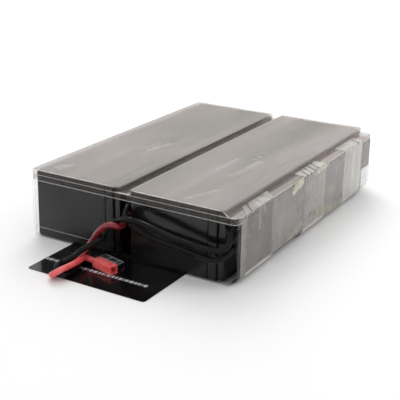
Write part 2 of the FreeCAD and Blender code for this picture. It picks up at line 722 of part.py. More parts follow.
def round_tube(points, wide):
    """Round tube along straight runs joined by tangent arcs, each as large as its two runs allow."""
    spots = [Vector(*point) for point in points]
    ring = Part.Circle(spots[0], spots[1] - spots[0], wide / 2).toShape()
    skins = [Part.Face(Part.Wire(ring))]
    radii = []
    long = 0.0
    last = spots[0]
    for before, spot, after in zip(spots, spots[1:], spots[2:]):
        into = (spot - before).normalize()
        out = (after - spot).normalize()
        trim = 0.45 * min((spot - before).Length, (after - spot).Length)
        turn = into.getAngle(out)
        radius = trim / math.tan(turn / 2)
        start = spot - into * trim
        axis = into.cross(out).normalize()
        centre = start + axis.cross(into) * radius
        skins.append(ring.extrude(start - last))
        ring = ring.translated(start - last)
        skins.append(ring.revolve(centre, axis, math.degrees(turn)))
        ring = ring.rotated(centre, axis, math.degrees(turn))
        radii.append(radius)
        long += (start - last).Length + radius * turn
        last = spot + out * trim
    skins.append(ring.extrude(spots[-1] - last))
    ring = ring.translated(spots[-1] - last)
    skins.append(Part.Face(Part.Wire(ring)))
    long += (spots[-1] - last).Length
    skin = Part.Compound(skins)
    skin.sewShape(1e-4)
    solid = Part.Solid(skin.Shells[0])
    if solid.Volume < 0:
        solid.reverse()
    return solid, long, radii


def make_cable(label, points):
    cable = doc.addObject("Part::Feature", label)
    cable.Label = label
    cable.Shape, long, radii = round_tube(points, sheet.cable_wide)
    section = math.pi * sheet.cable_wide ** 2 / 4
    print("%s: length %.1f, volume to section times length %.4f, radii %s"
          % (label, long, cable.Shape.Volume / (section * long), " ".join("%.1f" % r for r in radii)))


POLES = {"negative": -1, "positive": 1}
ROWS = {"front": minus(BLOCK_MID), "rear": BLOCK_MID}
BLOCKS = [("%s_%s" % (row, side), x, ROWS[row]) for side, x in (("left", LEFT_BLOCK), ("right", RIGHT_BLOCK))
          for row in ("front", "rear")]


def main():
    make_tray()
    make_cover()
    make_pull_sheet()
    make_side_film()
    ledge_tape("tape_front", less(s("front_tape"), REAR), s("tape_wide"), "front_skew")
    ledge_tape("tape_middle", minus(s("middle_tape")), s("tape_wide"), None)
    ledge_tape("tape_rear", THIRD_TAPE, s("tape_wide"), None)
    make_corner_tape()
    for name, x, y in BLOCKS:
        make_case(name, x, y)
        make_lid(name, x, y)
        make_vent_cover(name, x, y)
        for pole, side in POLES.items():
            make_tab(name, pole, x, y)
            # the barrels point forward, except on the front blocks' rear tabs
            way = 1 if name.startswith("front") and pole == "positive" else -1
            make_receptacle("%s_%s_receptacle" % (name, pole), join(x, BLOCK_TALL),
                            join(y, times(side, POLE_Y)), way)
    make_plug("red", 0)
    make_plug("black", 1)
    for label, points in ROUTES.items():
        make_cable(label, points)
    doc.recompute()

    pieces = [o for o in doc.Objects if o.TypeId in ("PartDesign::Body", "Part::Cut", "Part::Feature")
              and not o.Label.startswith(("tray_outside", "tray_inside"))]
    failed = [o.Label for o in doc.Objects if "Invalid" in o.State or "Error" in o.State]
    failed += [o.Label for o in pieces if o.Shape.isNull() or not o.Shape.isValid()
               or len(o.Shape.Solids) != 1]
    if failed:
        raise RuntimeError("failed: " + ", ".join(failed))
    os.makedirs("parts", exist_ok=True)
    for piece in pieces:
        piece.Shape.exportStep("parts/%s.step" % piece.Label)
    print(len(pieces), "pieces")


main()
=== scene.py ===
"""UPS battery cartridge: a clear formed pack of four battery blocks on a black pull sheet,
with its leads, plugs, side film and tapes, on a plain white studio floor."""

import itertools
import json
import math

import bpy
import numpy as np
from mathutils import Matrix


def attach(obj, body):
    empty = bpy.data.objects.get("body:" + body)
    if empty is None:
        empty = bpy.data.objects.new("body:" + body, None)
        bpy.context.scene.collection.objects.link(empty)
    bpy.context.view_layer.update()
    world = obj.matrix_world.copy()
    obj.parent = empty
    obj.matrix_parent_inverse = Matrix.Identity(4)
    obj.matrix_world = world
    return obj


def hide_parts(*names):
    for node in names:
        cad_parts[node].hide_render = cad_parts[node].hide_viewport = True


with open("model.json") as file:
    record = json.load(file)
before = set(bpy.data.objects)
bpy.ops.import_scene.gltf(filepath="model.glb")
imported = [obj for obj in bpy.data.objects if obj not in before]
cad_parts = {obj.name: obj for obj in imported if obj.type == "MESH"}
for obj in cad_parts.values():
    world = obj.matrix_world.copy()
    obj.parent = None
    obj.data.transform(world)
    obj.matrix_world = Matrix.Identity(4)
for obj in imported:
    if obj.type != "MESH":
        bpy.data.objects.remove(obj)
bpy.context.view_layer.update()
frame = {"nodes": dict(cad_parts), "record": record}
MM = 0.001
WHITE = (1, 1, 1, 1)


# ---------------------------------------------------------------- camera and light

# The camera's turn, rise and roll are in degrees, and its aim and distance in mm. The focal
# length and the axis are for a frame 400 wide.
CAMERA_TURN, CAMERA_RISE, CAMERA_ROLL = 32.219, 18.450, 0.407
CAMERA_AIM = (-71.5137, 25.9343, 20.0)
CAMERA_DISTANCE = 1000.288
FRAME_WIDE = 400
FOCAL = 922.29
AXIS_ACROSS, AXIS_DOWN = 167.978, 172.087

# Half the floor's side and its height, in metres.
FLOOR_HALF = 6.0
FLOOR_HEIGHT = -0.0001
# Strength of the white surroundings for the light that they give to matt surfaces.
DIM_SURROUNDINGS = 0.55


def turned(across, upward, back, spot):
    """Matrix of an object at spot with these three axes."""
    matrix = np.eye(4)
    matrix[:3, 0], matrix[:3, 1], matrix[:3, 2], matrix[:3, 3] = across, upward, back, spot
    return Matrix(matrix.tolist())


def place_camera():
    """Camera that looks from the front right, slightly down, its frame shifted off its axis."""
    turn, rise, roll = (math.radians(angle) for angle in (CAMERA_TURN, CAMERA_RISE, CAMERA_ROLL))
    back = np.array([math.sin(turn) * math.cos(rise), -math.cos(turn) * math.cos(rise),
                     math.sin(rise)])
    right = np.array([math.cos(turn), math.sin(turn), 0.0])
    up = np.cross(back, right)
    across = math.cos(roll) * right + math.sin(roll) * up
    upward = -math.sin(roll) * right + math.cos(roll) * up
    spot = np.array(CAMERA_AIM) * MM + back * CAMERA_DISTANCE * MM
    data = bpy.data.cameras.new("studio_camera")
    data.sensor_width = 36.0
    data.lens = FOCAL * data.sensor_width / FRAME_WIDE
    data.shift_x = (FRAME_WIDE / 2 - AXIS_ACROSS) / FRAME_WIDE
    data.shift_y = (AXIS_DOWN - FRAME_WIDE / 2) / FRAME_WIDE
    data.clip_start = 0.05
    data.clip_end = 20
    camera = bpy.data.objects.new("studio_camera", data)
    camera.matrix_world = turned(across, upward, back, spot)
    bpy.context.scene.collection.objects.link(camera)
    bpy.context.scene.camera = camera


def soft_lamp(name, spot, aim, wide, power, gloss_only=False):
    """Square area lamp at spot, turned to aim. It lights what is matt, or, with gloss_only, is
    just mirrored by what shines."""
    data = bpy.data.lights.new(name, "AREA")
    data.shape = "SQUARE"
    data.size = wide
    data.energy = power
    lamp = bpy.data.objects.new(name, data)
    away = np.array(spot, float) - np.array(aim, float)
    away /= np.linalg.norm(away)
    side = np.cross([0.0, 0.0, 1.0], away)
    side /= np.linalg.norm(side)
    lamp.matrix_world = turned(side, np.cross(away, side), away, spot)
    lamp.visible_glossy = gloss_only
    lamp.visible_diffuse = not gloss_only
    bpy.context.scene.collection.objects.link(lamp)


def white_world():
    """Even pale surroundings, white where the camera, gloss or clear sheet sees them."""
    world = bpy.data.worlds.new("studio_world")
    bpy.context.scene.world = world
    world.use_nodes = True
    nodes, links = world.node_tree.nodes, world.node_tree.links
    nodes.clear()
    path = add_node(nodes, "LightPath")
    seen = path.outputs["Is Camera Ray"]
    for ray in ("Is Glossy Ray", "Is Transmission Ray"):
        either = add_node(nodes, "Math", {"operation": "MAXIMUM"})
        links.new(seen, either.inputs[0])
        links.new(path.outputs[ray], either.inputs[1])
        seen = either.outputs[0]
    dim = add_node(nodes, "Background", Color=WHITE, Strength=DIM_SURROUNDINGS)
    bright = add_node(nodes, "Background", Color=WHITE, Strength=1.0)
    mix = add_node(nodes, "MixShader")
    out = add_node(nodes, "OutputWorld")
    links.new(seen, mix.inputs[0])
    links.new(dim.outputs[0], mix.inputs[1])
    links.new(bright.outputs[0], mix.inputs[2])
    links.new(mix.outputs[0], out.inputs["Surface"])


def studio_floor():
    """Wide pale floor just under the pack, which keeps the soft shadow."""
    corners = [(-FLOOR_HALF, -FLOOR_HALF, FLOOR_HEIGHT), (FLOOR_HALF, -FLOOR_HALF, FLOOR_HEIGHT),
               (FLOOR_HALF, FLOOR_HALF, FLOOR_HEIGHT), (-FLOOR_HALF, FLOOR_HALF, FLOOR_HEIGHT)]
    mesh = bpy.data.meshes.new("studio_floor")
    mesh.from_pydata(corners, [], [(0, 1, 2, 3)])
    floor = bpy.data.objects.new("studio_floor", mesh)
    bpy.context.scene.collection.objects.link(floor)
    material, shader = principled("floor_white")[:2]
    shader.inputs["Base Color"].default_value = (0.93, 0.93, 0.93, 1)
    shader.inputs["Roughness"].default_value = 0.9
    shader.inputs["Specular IOR Level"].default_value = 0.1
    mesh.materials.append(material)


# ---------------------------------------------------------------- shader groups

def add_node(nodes, kind, settings=None, **values):
    """New shader node: settings are its own properties, and values go to its inputs, with _
    for each space in an input's name."""
    node = nodes.new("ShaderNode" + kind)
    for label, value in (settings or {}).items():
        setattr(node, label, value)
    for label, value in values.items():
        node.inputs[label.replace("_", " ")].default_value = value
    return node


def principled(name):
    """New material, its Principled shader, and the nodes and links of its tree."""
    material = bpy.data.materials.new(name)
    material.use_nodes = True
    nodes, links = material.node_tree.nodes, material.node_tree.links
    return material, nodes["Principled BSDF"], nodes, links


def group_shell(name, inputs, outputs):
    """Empty node group with inputs (label, kind, value) and outputs (label, kind)."""
    group = bpy.data.node_groups.new(name, "ShaderNodeTree")
    for label, kind, value in inputs:
        socket = group.interface.new_socket(label, in_out="INPUT", socket_type=kind)
        socket.default_value = value
    for label, kind in outputs:
        group.interface.new_socket(label, in_out="OUTPUT", socket_type=kind)
    return group, group.nodes.new("NodeGroupInput"), group.nodes.new("NodeGroupOutput")


def moulded_grain_group():
    """Fine moulded texture: patchy colour between two tones, uneven roughness, small height."""
    group, start, end = group_shell(
        "moulded_grain",
        [("Tone", "NodeSocketColor", (0.1, 0.1, 0.1, 1)),
         ("Worn Tone", "NodeSocketColor", (0.2, 0.2, 0.2, 1)),
         ("Patch Scale", "NodeSocketFloat", 18.0), ("Grain Scale", "NodeSocketFloat", 900.0),
         ("Low Roughness", "NodeSocketFloat", 0.4), ("High Roughness", "NodeSocketFloat", 0.6)],
        [("Color", "NodeSocketColor"), ("Roughness", "NodeSocketFloat"),
         ("Height", "NodeSocketFloat")])
    nodes, links = group.nodes, group.links
    place = add_node(nodes, "TexCoord")
    patch = add_node(nodes, "TexNoise", Detail=5)
    grain = add_node(nodes, "TexNoise", Detail=2)
    blend = add_node(nodes, "Mix", {"data_type": "RGBA"})
    spread = add_node(nodes, "MapRange", From_Min=0.3, From_Max=0.75)
    rough = add_node(nodes, "MapRange", From_Min=0.3, From_Max=0.7)
    links.new(place.outputs["Object"], patch.inputs["Vector"])
    links.new(place.outputs["Object"], grain.inputs["Vector"])
    links.new(start.outputs["Patch Scale"], patch.inputs["Scale"])
    links.new(start.outputs["Grain Scale"], grain.inputs["Scale"])
    links.new(patch.outputs["Fac"], spread.inputs["Value"])
    links.new(spread.outputs["Result"], blend.inputs["Factor"])
    links.new(start.outputs["Tone"], blend.inputs["A"])
    links.new(start.outputs["Worn Tone"], blend.inputs["B"])
    links.new(patch.outputs["Fac"], rough.inputs["Value"])
    links.new(start.outputs["Low Roughness"], rough.inputs["To Min"])
    links.new(start.outputs["High Roughness"], rough.inputs["To Max"])
    links.new(blend.outputs["Result"], end.inputs["Color"])
    links.new(rough.outputs["Result"], end.inputs["Roughness"])
    links.new(grain.outputs["Fac"], end.inputs["Height"])
    return group


def sheet_waves_group():
    """Slow waves and fine scratches of a formed or stuck-on plastic sheet.

    Height is broad noise stretched along one direction, plus thin creases; Haze is where the
    sheet is scuffed; Streak is a slow change of cover along the depth of the pack."""
    group, start, end = group_shell(
        "sheet_waves",
        [("Stretch", "NodeSocketVector", (20.0, 6.0, 20.0)),
         ("Crease Scale", "NodeSocketFloat", 60.0), ("Crease Share", "NodeSocketFloat", 0.4),
         ("Streak Scale", "NodeSocketVector", (30.0, 5.0, 12.0))],
        [("Height", "NodeSocketFloat"), ("Haze", "NodeSocketFloat"),
         ("Streak", "NodeSocketFloat")])
    nodes, links = group.nodes, group.links
    place = add_node(nodes, "TexCoord")
    scale = add_node(nodes, "VectorMath", {"operation": "MULTIPLY"})
    broad = add_node(nodes, "TexNoise", Scale=1.0, Detail=3)
    fine = add_node(nodes, "TexNoise", Scale=4.0, Detail=8)
    crease = add_node(nodes, "TexVoronoi", {"feature": "DISTANCE_TO_EDGE"})
    ridge = add_node(nodes, "MapRange", From_Min=0.0, From_Max=0.08, To_Min=1.0, To_Max=0.0)
    share = add_node(nodes, "Math", {"operation": "MULTIPLY"})
    total = add_node(nodes, "Math", {"operation": "ADD"})
    haze = add_node(nodes, "MapRange", From_Min=0.42, From_Max=0.70)
    pull = add_node(nodes, "VectorMath", {"operation": "MULTIPLY"})
    lane = add_node(nodes, "TexNoise", Scale=1.0, Detail=4, Roughness=0.6)
    streak = add_node(nodes, "MapRange", From_Min=0.34, From_Max=0.66)
    warp = add_node(nodes, "VectorMath", {"operation": "ADD"})
    bend = add_node(nodes, "VectorMath", {"operation": "SCALE"}, Scale=0.02)
    links.new(place.outputs["Object"], scale.inputs[0])
    links.new(start.outputs["Stretch"], scale.inputs[1])
    links.new(scale.outputs[0], broad.inputs["Vector"])
    links.new(scale.outputs[0], fine.inputs["Vector"])
    links.new(fine.outputs["Color"], bend.inputs[0])
    links.new(place.outputs["Object"], warp.inputs[0])
    links.new(bend.outputs[0], warp.inputs[1])
    links.new(warp.outputs[0], crease.inputs["Vector"])
    links.new(start.outputs["Crease Scale"], crease.inputs["Scale"])
    links.new(crease.outputs["Distance"], ridge.inputs["Value"])
    links.new(ridge.outputs["Result"], share.inputs[0])
    links.new(start.outputs["Crease Share"], share.inputs[1])
    links.new(broad.outputs["Fac"], total.inputs[0])
    links.new(share.outputs[0], total.inputs[1])
    links.new(fine.outputs["Fac"], haze.inputs["Value"])
    links.new(total.outputs[0], end.inputs["Height"])
    links.new(haze.outputs["Result"], end.inputs["Haze"])
    links.new(place.outputs["Object"], pull.inputs[0])
    links.new(start.outputs["Streak Scale"], pull.inputs[1])
    links.new(pull.outputs[0], lane.inputs["Vector"])
    links.new(lane.outputs["Fac"], streak.inputs["Value"])
    links.new(streak.outputs["Result"], end.inputs["Streak"])
    return group


GRAIN = moulded_grain_group()
WAVES = sheet_waves_group()

# Full rise of the two textures' bumps, in metres, and the Facing value at which a clear sheet
# reaches its glancing cover.
GRAIN_REACH = 0.0002
WAVE_REACH = 0.001
FULL_COVER_AT = 0.68


def bump(nodes, links, shader, height, strength, reach):
    """Lets a height shape the shader's normal; reach is the height's full rise in metres."""
    node = add_node(nodes, "Bump", Strength=strength, Distance=reach)
    links.new(height, node.inputs["Height"])
    links.new(node.outputs["Normal"], shader.inputs["Normal"])


def moulded(name, tone, worn, roughness, patch=18.0, grain=900.0, strength=0.25, painted_shade=None,
            **fixed):
    """Opaque moulded plastic, rubber or metal with grain, patches and uneven gloss.

    Roughness is its lowest and highest value. With a shade setting, a darker colour is painted on
    above a height as painted shade: (height where it starts, where it is full, colour). Fixed
    values go straight to the shader's inputs."""
    material, shader, nodes, links = principled(name)
    texture = add_node(nodes, "Group", {"node_tree": GRAIN}, Tone=(*tone, 1),
                       Worn_Tone=(*worn, 1), Patch_Scale=patch, Grain_Scale=grain,
                       Low_Roughness=roughness[0], High_Roughness=roughness[1])
    colour = texture.outputs["Color"]
    # Painted shade: the colour turns darker with height.
    if painted_shade:
        starts, is_full, painted_shade_colour = painted_shade
        place = add_node(nodes, "TexCoord")
        split = add_node(nodes, "SeparateXYZ")
        rise = add_node(nodes, "MapRange", {"interpolation_type": "SMOOTHSTEP"},
                        From_Min=starts, From_Max=is_full)
        shade_mix = add_node(nodes, "Mix", {"data_type": "RGBA"}, B=(*painted_shade_colour, 1))
        links.new(place.outputs["Object"], split.inputs[0])
        links.new(split.outputs["Z"], rise.inputs["Value"])
        links.new(rise.outputs["Result"], shade_mix.inputs["Factor"])
        links.new(colour, shade_mix.inputs["A"])
        colour = shade_mix.outputs["Result"]
    links.new(colour, shader.inputs["Base Color"])
    links.new(texture.outputs["Roughness"], shader.inputs["Roughness"])
    bump(nodes, links, shader, texture.outputs["Height"], strength, GRAIN_REACH)
    for socket, value in fixed.items():
        shader.inputs[socket.replace("_", " ")].default_value = value
    return material


def clear_sheet(name, tint, face_on, glancing, roughness, haze, waves, stretch, crease=60.0,
                share=0.3, ior=3.0, flat_until=0.2, second=None, streak=0.0,
                lanes=(30.0, 5.0, 12.0)):
    """Thin clear or milky sheet.

    Its share of cover stays at face_on until flat_until and grows from there to glancing with
    the angle it is seen at; haze is added where it is scuffed, and the cover swings by streak
    along the depth. A high index gives that share the gloss of both of the sheet's faces. The
    colour drifts from tint to second along the streaks."""
    material, shader, nodes, links = principled(name)
    shader.inputs["IOR"].default_value = ior
    wave = add_node(nodes, "Group", {"node_tree": WAVES}, Stretch=stretch, Crease_Scale=crease,
                    Crease_Share=share, Streak_Scale=lanes)
    colour = add_node(nodes, "Mix", {"data_type": "RGBA"}, A=(*tint, 1), B=(*(second or tint), 1))
    angle = add_node(nodes, "LayerWeight", Blend=0.5)
    cover = add_node(nodes, "MapRange", From_Min=flat_until, From_Max=FULL_COVER_AT,
                     To_Min=face_on, To_Max=glancing)
    swing = add_node(nodes, "MapRange", To_Min=1.0 - streak, To_Max=1.0 + streak)
    swung = add_node(nodes, "Math", {"operation": "MULTIPLY"})
    scuff = add_node(nodes, "Math", {"operation": "MULTIPLY_ADD", "use_clamp": True})
    scuff.inputs[1].default_value = haze
    rough = add_node(nodes, "MapRange", To_Min=roughness[0], To_Max=roughness[1])
    links.new(wave.outputs["Streak"], colour.inputs["Factor"])
    links.new(colour.outputs["Result"], shader.inputs["Base Color"])
    links.new(angle.outputs["Facing"], cover.inputs["Value"])
    links.new(wave.outputs["Streak"], swing.inputs["Value"])
    links.new(cover.outputs["Result"], swung.inputs[0])
    links.new(swing.outputs["Result"], swung.inputs[1])
    links.new(wave.outputs["Haze"], scuff.inputs[0])
    links.new(swung.outputs[0], scuff.inputs[2])
    links.new(scuff.outputs[0], shader.inputs["Alpha"])
    links.new(wave.outputs["Haze"], rough.inputs["Value"])
    links.new(rough.outputs["Result"], shader.inputs["Roughness"])
    bump(nodes, links, shader, wave.outputs["Height"], waves, WAVE_REACH)
    return material


# ---------------------------------------------------------------- finishes of the cartridge

case_grey = moulded("battery_case_grey", (0.007, 0.0063, 0.006), (0.012, 0.011, 0.0105),
                    (0.12, 0.22), patch=25, strength=0.03, Specular_IOR_Level=0.40)
lid_grey = moulded("battery_lid_grey", (0.006, 0.0055, 0.0055), (0.010, 0.009, 0.009),
                   (0.14, 0.24), patch=30, strength=0.03, Specular_IOR_Level=0.40)
seam_black = moulded("weld_seam", (0.004, 0.004, 0.004), (0.007, 0.007, 0.007), (0.5, 0.7),
                     patch=200, Specular_IOR_Level=0.05)
tin_plate = moulded("tin_plate", (0.62, 0.61, 0.58), (0.48, 0.46, 0.42), (0.2, 0.4), patch=300,
                    Metallic=1.0)
nylon = moulded("smoky_nylon", (0.075, 0.070, 0.062), (0.12, 0.11, 0.095), (0.3, 0.45), patch=200)
black_sheet = moulded("pull_sheet_black", (0.005, 0.004, 0.005), (0.009, 0.008, 0.009),
                      (0.08, 0.18), patch=14, grain=500, strength=0.05)
print_white = moulded("print_white", (0.62, 0.64, 0.66), (0.42, 0.43, 0.45), (0.4, 0.6),
                      patch=600, strength=0.1)
print_faded = moulded("print_faded", (0.56, 0.59, 0.50), (0.03, 0.03, 0.03), (0.3, 0.4),
                      patch=220, strength=0.1)
print_tinted = moulded("print_tinted", (0.60, 0.68, 0.92), (0.06, 0.06, 0.08), (0.3, 0.4),
                       patch=160, strength=0.1)
paper_cream = moulded("backing_paper", (0.60, 0.56, 0.44), (0.44, 0.42, 0.36), (0.3, 0.5),
                      patch=120, strength=0.2)
paper_dull = clear_sheet("backing_paper_thin", (0.50, 0.47, 0.38), 0.35, 0.45, (0.3, 0.5),
                         0.3, 0.2, (40.0, 40.0, 40.0), ior=1.6)
# Tape folds: the raised folds are real, and their pale, denser cover is a painted highlight.
fold_highlight_paint = clear_sheet("tape_fold_highlight", (0.62, 0.61, 0.59), 0.45, 0.75, (0.08, 0.2),
                         0.1, 0.2, (60.0, 60.0, 60.0), ior=2.2)
# Painted shadow: dark strips laid on the tape where the folds shade it.
fold_shadow_paint = clear_sheet("painted_crease_shadow", (0.045, 0.040, 0.040), 0.30, 0.62, (0.2, 0.35),
                         0.1, 0.2, (60.0, 60.0, 60.0), ior=1.5)
# Painted shade: the red insulation turns darker from 11 mm up and is fully dark from 24 mm, over
# the lead's upper run.
red_rubber = moulded("red_insulation", (0.80, 0.065, 0.075), (0.88, 0.20, 0.19), (0.22, 0.36),
                     patch=60, strength=0.1, painted_shade=(0.011, 0.024, (0.21, 0.014, 0.022)),
                     Coat_Weight=0.15)
black_rubber = moulded("black_insulation", (0.004, 0.004, 0.004), (0.008, 0.008, 0.008),
                       (0.13, 0.22), patch=60, strength=0.08, Specular_IOR_Level=0.13)
red_shell = moulded("red_plug_shell", (0.95, 0.085, 0.085), (0.95, 0.24, 0.22), (0.22, 0.34),
                    patch=150)
black_shell = moulded("black_plug_shell", (0.012, 0.012, 0.012), (0.03, 0.03, 0.03),
                      (0.22, 0.34), patch=150)
# Painted highlight: pale grey for the beads on the black plug's edges.
plug_glint_grey = moulded("painted_plug_edge_glint", (0.50, 0.50, 0.50), (0.22, 0.22, 0.22), (0.3, 0.5),
                    patch=300)


def formed_sheet(name, face_on, glancing, haze):
    """Clear formed shell: nearly unseen face on, a warm pale sheen where it is seen at a glance."""
    material = clear_sheet(name, (0.200, 0.192, 0.158), face_on, glancing, (0.03, 0.10),
                           haze, 0.05, (20.0, 4.0, 20.0), share=0.1, ior=5.0, flat_until=0.27,
                           second=(0.270, 0.218, 0.222), streak=0.26, lanes=(24.0, 4.5, 12.0))
    shader = material.node_tree.nodes["Principled BSDF"]
    shader.inputs["Specular Tint"].default_value = (1.0, 0.962, 0.925, 1)
    return material


clear_cover = formed_sheet("clear_cover_sheet", 0.020, 0.51, 0.004)
clear_tray = formed_sheet("clear_tray_sheet", 0.0, 0.24, 0.0)
# Painted highlight: pale, dense cover for the beads along the shells' rounded edges.
painted_edge_glint = clear_sheet("painted_edge_glint", (0.84, 0.81, 0.77), 0.45, 0.75, (0.1, 0.2),
                          0.25, 0.1, (60.0, 60.0, 60.0), ior=2.0)
# Painted sheen: pale whitish cover for the patches at the rear right corner.
corner_sheen_paint = clear_sheet("painted_corner_sheen", (0.72, 0.73, 0.75), 0.38, 0.55, (0.1, 0.3),
                          0.25, 0.3, (50.0, 50.0, 50.0), ior=1.9)
milky_film = clear_sheet("milky_side_film", (0.310, 0.287, 0.274), 0.42, 0.60, (0.25, 0.5),
                         0.2, 0.4, (30.0, 8.0, 10.0), share=0.2, ior=1.6,
                         second=(0.345, 0.337, 0.328), streak=0.18, lanes=(20.0, 34.0, 14.0))
packing_tape = clear_sheet("packing_tape", (0.56, 0.535, 0.50), 0.07, 0.80, (0.10, 0.3),
                           0.12, 0.4, (90.0, 12.0, 10.0), crease=110.0, share=0.4, ior=1.9,
                           flat_until=0.61, streak=0.25, lanes=(10.0, 70.0, 10.0))
grey_tape = clear_sheet("grey_corner_tape", (0.20, 0.20, 0.195), 0.6, 0.85, (0.2, 0.4),
                        0.1, 0.4, (20.0, 20.0, 60.0), ior=1.6)

FINISHES = {
    "battery_case": case_grey,
    "battery_lid": lid_grey,
    "terminal": tin_plate,
    "sleeve": nylon,
    "clear_shell": clear_cover,
    "pull_sheet": black_sheet,
    "side_film": milky_film,
    "tape": packing_tape,
    "tape_grey": grey_tape,
    "red_wire": red_rubber,
    "black_wire": black_rubber,
    "red_plug": red_shell,
    "black_plug": black_shell,
}
OWN_FINISH = {"bottom_tray": clear_tray}
SLOT_OF = {part["node"]: part["material_slot"] for part in frame["record"]["subparts"]}


def dress_nodes():
    """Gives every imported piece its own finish, or else the finish of its slot."""
    for name, node in frame["nodes"].items():
        finish = OWN_FINISH.get(name, FINISHES[SLOT_OF[name]])
        if not node.material_slots:
            node.data.materials.append(finish)
        for place in node.material_slots:
            place.material = finish


# ---------------------------------------------------------------- leads

LEAD_RADIUS = 2.7

# Route points in mm, from each lead's terminal on.
ROUTES = {
    "red_lead": [
        (-6, 125.3, 50), (-6, 120.2, 50), (-5.6, 112.8, 46.4), (-4.7, 100, 40.4),
        (-4.9, 80, 36), (-4.3, 45, 36.2), (-4.9, 0, 35.2), (-4.4, -45, 36), (-4.9, -80, 35.2),
        (-5, -100, 36), (-5.4, -118, 37.2), (-6, -134, 38.8), (-6.2, -145.9, 39.6),
        (-4.9, -155.2, 38.4), (0.5, -160.2, 35.2), (1.4, -170.5, 37.9), (-3.1, -174.4, 40.6),
        (-9.1, -175.6, 38.6), (-18.1, -174.8, 30), (-27.6, -170.9, 17.4), (-31.9, -173.3, 10.3),
        (-34.8, -177.1, 4.9), (-34.9, -185, 3.4), (-33.3, -199, 3.3), (-32.9, -211, 3.3),
        (-32.7, -221, 3.3), (-29.7, -224.6, 5.4), (-25.5, -224.6, 8.4), (-22.5, -221, 10.6),
        (-21.5, -212, 10.6), (-20.9, -203, 10.4), (-22.1, -194, 10), (-25.5, -185.2, 8.6),
        (-19.88, -179.33, 4.45), (-10.18, -181.75, 4.45),
    ],
    "black_lead": [
        (100.2, -140.7, 50), (100.2, -146.2, 50), (101.4, -151.6, 45.2), (102.9, -156.6, 37.6),
        (97, -160.6, 33.8), (84.5, -161.8, 33.6), (72.5, -164, 35.2), (59, -165.2, 37.2),
        (45.5, -165.8, 40), (31.5, -166, 43.2), (19, -166.2, 45.4), (10.7, -170.4, 47.2),
        (-1.5, -165, 42.7), (-11.3, -164.3, 36.3), (-15, -166, 29.1), (-13.4, -173.7, 25.2),
        (-16.4, -180.9, 22.9), (-20.7, -186.3, 19.7), (-26.5, -190.2, 15.1), (-27.5, -200, 12.3),
        (-31.5, -206.2, 10.1), (-30.9, -215.2, 11), (-28.5, -218.6, 8.8), (-25, -218.6, 5.6),
        (-22.5, -215.2, 3.3), (-22.7, -206, 3.3), (-23.9, -195, 3.3), (-28.9, -185.4, 3.3),
        (-28.1, -175.8, 3.5), (-17.95, -171.57, 4.45), (-8.25, -173.99, 4.45),
    ],
    "link_cable": [
        (-6, -140.7, 50), (-6, -145.6, 50), (-3.1, -150.6, 48.2), (-1.1, -156.2, 45.2),
        (4.7, -160.6, 40.6), (13.5, -161.4, 36.2), (25.5, -161.6, 32.2), (39.5, -162, 30.4),
        (53.5, -162, 29.4), (67.5, -162, 27.6), (81.5, -161.4, 25.2), (92.5, -160.4, 23.8),
        (100.1, -158.4, 27.6), (102.7, -151, 31.6), (102.8, -139.5, 33.2), (102.5, -122, 34.2),
        (101.9, -98, 33.6), (102.5, -58, 34.6), (101.8, -10, 33.6), (102.5, 40, 34.8),
        (101.9, 78, 35.2), (102, 100, 38.6), (101.1, 111.4, 44), (100.2, 120, 50),
        (100.2, 125.3, 50),
    ],
}


def lead(name, points, finish):
    """Smooth lead: a NURBS line of order 3 whose control points are the route's points.

    Gives the piece and those points in metres."""
    curve = bpy.data.curves.new(name, "CURVE")
    curve.dimensions = "3D"
    spline = curve.splines.new("NURBS")
    spline.points.add(len(points) - 1)
    spots = np.array(points, float) * MM
    spline.points.foreach_set("co", np.hstack([spots, np.ones((len(spots), 1))]).ravel())
    spline.order_u = 3
    spline.use_endpoint_u = True
    spline.resolution_u = 10
    curve.bevel_depth = LEAD_RADIUS * MM
    curve.bevel_resolution = 5
    curve.use_fill_caps = True
    curve.materials.append(finish)
    piece = bpy.data.objects.new(name, curve)
    bpy.context.scene.collection.objects.link(piece)
    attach(piece, "root")
    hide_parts(name)
    return piece, spots


def make_leads():
    """The two output leads and the link cable, as free cords."""
    red, spots = lead("red_lead", ROUTES["red_lead"], red_rubber)
    black, spots = lead("black_lead", ROUTES["black_lead"], black_rubber)
    link, spots = lead("link_cable", ROUTES["link_cable"], black_rubber)


# ---------------------------------------------------------------- prints, seams, folds and scraps

# Places on the pack, in mm: X runs to the right, Y to the rear and Z up. The skins are a hair
# outside the tapes and the pull sheet.
PACK_RIGHT = 109.0
LEDGE_TOP = 61.8
TAPE_SKIN = PACK_RIGHT + 0.35
TAPE_TOP = LEDGE_TOP + 0.15
SHEET_SKIN = 0.53

# The blocks lie on their sides: their bases stand at these X, their middles at these Y.
BLOCK_BASES = (-104.5, 1.7)
BLOCK_MIDDLES = (-76.5, 76.5)
BLOCK_HALF_LONG = 75.5
BLOCK_FLOOR = 1.1
BLOCK_WIDE = 65.0


def grid_faces(rows, columns, first):
    """Quads of a grid of rows by columns points, numbered row by row from first."""
    row, column = np.meshgrid(np.arange(rows - 1), np.arange(columns - 1), indexing="ij")
    corner = (first + row * columns + column).ravel()
    return np.stack([corner, corner + columns, corner + columns + 1, corner + 1], axis=1)


def surface(name, grids, finish):
    """One smooth piece from several grids of points in mm, each in the order that turns its
    faces outwards."""
    points, faces, count = [], [], 0
    for grid in grids:
        rows, columns = grid.shape[:2]
        points.append(grid.reshape(-1, 3) * MM)
        faces.append(grid_faces(rows, columns, count))
        count += rows * columns
    mesh = bpy.data.meshes.new(name)
    mesh.from_pydata(np.vstack(points).tolist(), [], np.vstack(faces).tolist())
    mesh.shade_smooth()
    mesh.materials.append(finish)
    piece = bpy.data.objects.new(name, mesh)
    bpy.context.scene.collection.objects.link(piece)
    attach(piece, "root")


